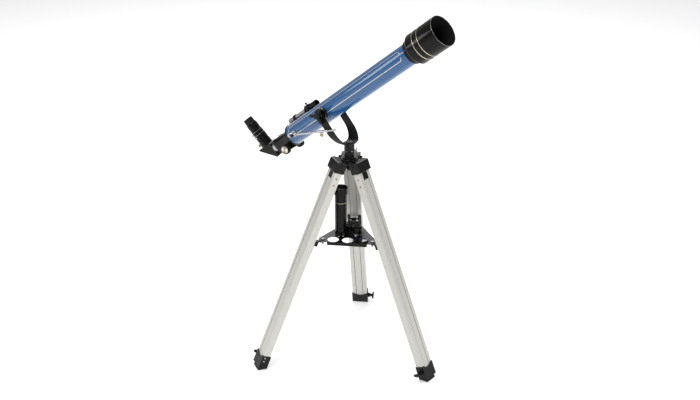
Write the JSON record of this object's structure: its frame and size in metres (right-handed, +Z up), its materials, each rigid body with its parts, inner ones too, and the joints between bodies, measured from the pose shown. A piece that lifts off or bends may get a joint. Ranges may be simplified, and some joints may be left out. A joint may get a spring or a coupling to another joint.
{
  "type": "telescope on tripod",
  "caption": "Refracting telescope on a leaning yoke mount with a slow-motion rod, on an aluminium tripod with an accessory tray.",
  "frame": {"origin": "on the ground, under the vertical axis of the pier, midway between the three feet", "axes": "+Z up along the azimuth axis; +Y towards the back leg; the other two legs stand at 210 and 330 degrees from +X"},
  "size_m": [0.6383, 0.4955, 1.1088],
  "materials": {
    "tube_blue": "glossy enamel",
    "black_enamel": "satin black enamel",
    "black_plastic": "moulded, fine texture",
    "gloss_black": "polished moulding",
    "leg_aluminium": "satin anodised extrusion",
    "bright_metal": "polished chrome plate",
    "spun_silver": "spun face",
    "grey_metal": "grey anodised",
    "brass_knurl": "turned and knurled",
    "gold_trim": "polished trim",
    "inner_black": "flat black",
    "rubber_foot": "moulded rubber",
    "eyecup_rubber": "soft rubber",
    "tray_black": "powder coat on pressed sheet",
    "glass": "polished, coated",
    "fastener_grey": "zinc plated"
  },
  "bodies": {
    "tripod": {"leg_rails": "leg_aluminium", "hinge_blocks": "black_plastic", "tripod_head": "black_plastic", "hinge_bolts": "black_plastic", "pier": "black_enamel", "tray": "tray_black", "tray_brackets": "black_enamel", "tray_links": "black_enamel", "tray_bolts": "fastener_grey", "boot_back": "black_plastic", "boot_left": "black_plastic", "boot_right": "black_plastic"},
    "azimuth_lock": {"azimuth_lock_screw": "bright_metal"},
    "mount": {"yoke": "black_enamel", "azimuth_shaft": "fastener_grey", "yoke_hardware": "fastener_grey"},
    "near_knob": {"altitude_knob_near": "black_plastic"},
    "far_knob": {"altitude_knob_far": "black_plastic"},
    "optical_tube": {"main_tube": "tube_blue", "trunnions": "gloss_black", "lens_cell": "gloss_black", "objective_lenses": "glass", "inner_rings": "inner_black", "dew_shield": "gloss_black", "shade_trim_rings": "gold_trim", "focuser_body": "black_plastic", "focuser_screws": "fastener_grey", "finder_tube": "grey_metal", "finder_front_cell": "gloss_black", "finder_lenses": "glass", "finder_bracket": "black_enamel", "rod_clamp": "bright_metal"},
    "rod": {"slow_motion_rod": "bright_metal"},
    "sleeve": {"rod_sleeve": "bright_metal"},
    "sleeve_nut": {"rod_nut": "brass_knurl"},
    "focus_drive": {"focus_shaft": "bright_metal", "focus_knobs": "black_plastic", "knob_discs": "spun_silver"},
    "drawtube": {"drawtube": "bright_metal"},
    "diagonal": {"diagonal_body": "black_plastic", "diagonal_prism": "glass", "diagonal_screw": "brass_knurl", "erecting_tube": "black_enamel"},
    "eyepiece": {"eyepiece_body": "black_enamel", "eyepiece_lens": "glass", "eyepiece_eyecup": "eyecup_rubber"},
    "spare_tube": {"spare_tube": "black_enamel", "spare_tube_cap": "gloss_black"},
    "short_eyepiece": {"spare_eyepiece_short": "black_enamel"},
    "long_eyepiece": {"spare_eyepiece_long": "black_enamel"},
    "filter_disc": {"filter_disc": "gloss_black"},
    "leg_back": {"inner_leg_back": "leg_aluminium", "foot_back": "rubber_foot"},
    "lock_back": {"lock_screw_back": "black_plastic"},
    "leg_left": {"inner_leg_left": "leg_aluminium", "foot_left": "rubber_foot"},
    "lock_left": {"lock_screw_left": "black_plastic"},
    "leg_right": {"inner_leg_right": "leg_aluminium", "foot_right": "rubber_foot"},
    "lock_right": {"lock_screw_right": "black_plastic"}
  },
  "joints": [
    {"name": "azimuth", "type": "hinge", "parent": "tripod", "child": "mount", "pos_m": [0, 0, 0.682], "axis": [0, 0, 1], "continuous": true},
    {"name": "altitude", "type": "hinge", "parent": "mount", "child": "optical_tube", "pos_m": [-0.06441, 0.0324, 0.7711], "axis": [-0.4493, -0.8934, 0], "range_deg": [-15, 25]},
    {"name": "rod_pivot", "type": "hinge", "parent": "optical_tube", "child": "rod", "pos_m": [-0.179, 0.02846, 0.68876], "axis": [-0.4493, -0.8934, 0], "range_deg": [-3, 3]},
    {"name": "rod_sleeve_slide", "type": "slide", "parent": "rod", "child": "sleeve", "axis": [0.8485, -0.4267, 0.313], "range_m": [-0.0225, 0.0145]},
    {"name": "sleeve_nut_spin", "type": "hinge", "parent": "sleeve", "child": "sleeve_nut", "pos_m": [-0.07965, -0.02151, 0.72541], "axis": [0.2796, -0.1406, -0.9497], "continuous": true},
    {"name": "near_knob_spin", "type": "hinge", "parent": "mount", "child": "near_knob", "pos_m": [-0.06441, 0.0324, 0.7711], "axis": [-0.4493, -0.8934, 0], "continuous": true},
    {"name": "far_knob_spin", "type": "hinge", "parent": "mount", "child": "far_knob", "pos_m": [-0.06441, 0.0324, 0.7711], "axis": [0.4493, 0.8934, 0], "continuous": true},
    {"name": "focus_slide", "type": "slide", "parent": "optical_tube", "child": "drawtube", "axis": [-0.6913, 0.3477, -0.6334], "range_m": [-0.004, 0.045]},
    {"name": "focus_spin", "type": "hinge", "parent": "optical_tube", "child": "focus_drive", "pos_m": [-0.18203, 0.09155, 0.63039], "axis": [-0.4493, -0.8934, 0], "range_deg": [-50, 520]},
    {"name": "diagonal_turn", "type": "hinge", "parent": "drawtube", "child": "diagonal", "pos_m": [-0.2528, 0.12714, 0.5985], "axis": [0.6913, -0.3477, 0.6334], "range_deg": [-90, 90]},
    {"name": "eyepiece_pull", "type": "slide", "parent": "diagonal", "child": "eyepiece", "axis": [-0.6353, 0.1251, 0.7621], "range_m": [0, 0.03]},
    {"name": "azimuth_lock_spin", "type": "hinge", "parent": "tripod", "child": "azimuth_lock", "pos_m": [0.02, 0, 0.664], "axis": [1, 0, 0], "continuous": true},
    {"name": "spare_tube_lift", "type": "slide", "parent": "tripod", "child": "spare_tube", "axis": [0, 0, 1], "range_m": [0, 0.012]},
    {"name": "short_eyepiece_lift", "type": "slide", "parent": "tripod", "child": "short_eyepiece", "axis": [0, 0, 1], "range_m": [0, 0.06]},
    {"name": "long_eyepiece_lift", "type": "slide", "parent": "tripod", "child": "long_eyepiece", "axis": [0, 0, 1], "range_m": [0, 0.06]},
    {"name": "filter_disc_lift", "type": "slide", "parent": "tripod", "child": "filter_disc", "axis": [0, 0, 1], "range_m": [0, 0.06]},
    {"name": "leg_back_slide", "type": "slide", "parent": "tripod", "child": "leg_back", "axis": [0, 0.3863, -0.9224], "range_m": [0, 0.4]},
    {"name": "lock_back_spin", "type": "hinge", "parent": "tripod", "child": "lock_back", "pos_m": [0, 0.28586, 0.02661], "axis": [-1, 0, 0], "continuous": true},
    {"name": "leg_left_slide", "type": "slide", "parent": "tripod", "child": "leg_left", "axis": [-0.3345, -0.1931, -0.9224], "range_m": [0, 0.4]},
    {"name": "lock_left_spin", "type": "hinge", "parent": "tripod", "child": "lock_left", "pos_m": [-0.24756, -0.14293, 0.02661], "axis": [0.5, -0.866, 0], "continuous": true},
    {"name": "leg_right_slide", "type": "slide", "parent": "tripod", "child": "leg_right", "axis": [0.3345, -0.1931, -0.9224], "range_m": [0, 0.4]},
    {"name": "lock_right_spin", "type": "hinge", "parent": "tripod", "child": "lock_right", "pos_m": [0.24756, -0.14293, 0.02661], "axis": [0.5, 0.866, 0], "continuous": true}
  ],
  "couplings": [
    {"joint": "rod_pivot", "follows": "altitude", "ratio": -0.09},
    {"joint": "rod_sleeve_slide", "follows": "altitude", "m_per_rad": -0.0475},
    {"joint": "focus_spin", "follows": "focus_slide", "rad_per_m": 200}
  ]
}
